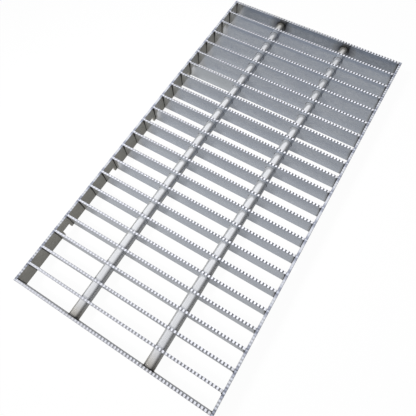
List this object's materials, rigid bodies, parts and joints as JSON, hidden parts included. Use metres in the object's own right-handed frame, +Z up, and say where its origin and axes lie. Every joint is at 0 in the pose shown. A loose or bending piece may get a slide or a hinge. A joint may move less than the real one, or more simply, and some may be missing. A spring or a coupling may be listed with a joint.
{
  "type": "trench grating",
  "caption": "Flat ladder grating: toothed flat bars threaded on round rods inside notched side bars; covers a drain trench, lets water through and gives feet a grip.",
  "frame": {"origin": "on the floor under the middle of the grating", "axes": "+X across the trench, +Y along it from the near end to the far end, +Z up"},
  "size_m": [0.256, 0.498, 0.025],
  "materials": {
    "cross_bar_steel": "pickled satin stainless steel",
    "side_bar_steel": "pickled satin stainless steel",
    "rod_steel": "bright drawn stainless steel"
  },
  "bodies": {
    "root": {"cross_bar_01": "cross_bar_steel", "cross_bar_02": "cross_bar_steel", "cross_bar_03": "cross_bar_steel", "cross_bar_04": "cross_bar_steel", "cross_bar_05": "cross_bar_steel", "cross_bar_06": "cross_bar_steel", "cross_bar_07": "cross_bar_steel", "cross_bar_08": "cross_bar_steel", "cross_bar_09": "cross_bar_steel", "cross_bar_10": "cross_bar_steel", "cross_bar_11": "cross_bar_steel", "cross_bar_12": "cross_bar_steel", "cross_bar_13": "cross_bar_steel", "cross_bar_14": "cross_bar_steel", "cross_bar_15": "cross_bar_steel", "cross_bar_16": "cross_bar_steel", "cross_bar_17": "cross_bar_steel", "cross_bar_18": "cross_bar_steel", "cross_bar_19": "cross_bar_steel", "cross_bar_20": "cross_bar_steel", "cross_bar_21": "cross_bar_steel", "near_end_bar": "cross_bar_steel", "far_end_bar": "cross_bar_steel", "left_side_bar": "side_bar_steel", "right_side_bar": "side_bar_steel", "left_rod": "rod_steel", "right_rod": "rod_steel"}
  },
  "joints": []
}
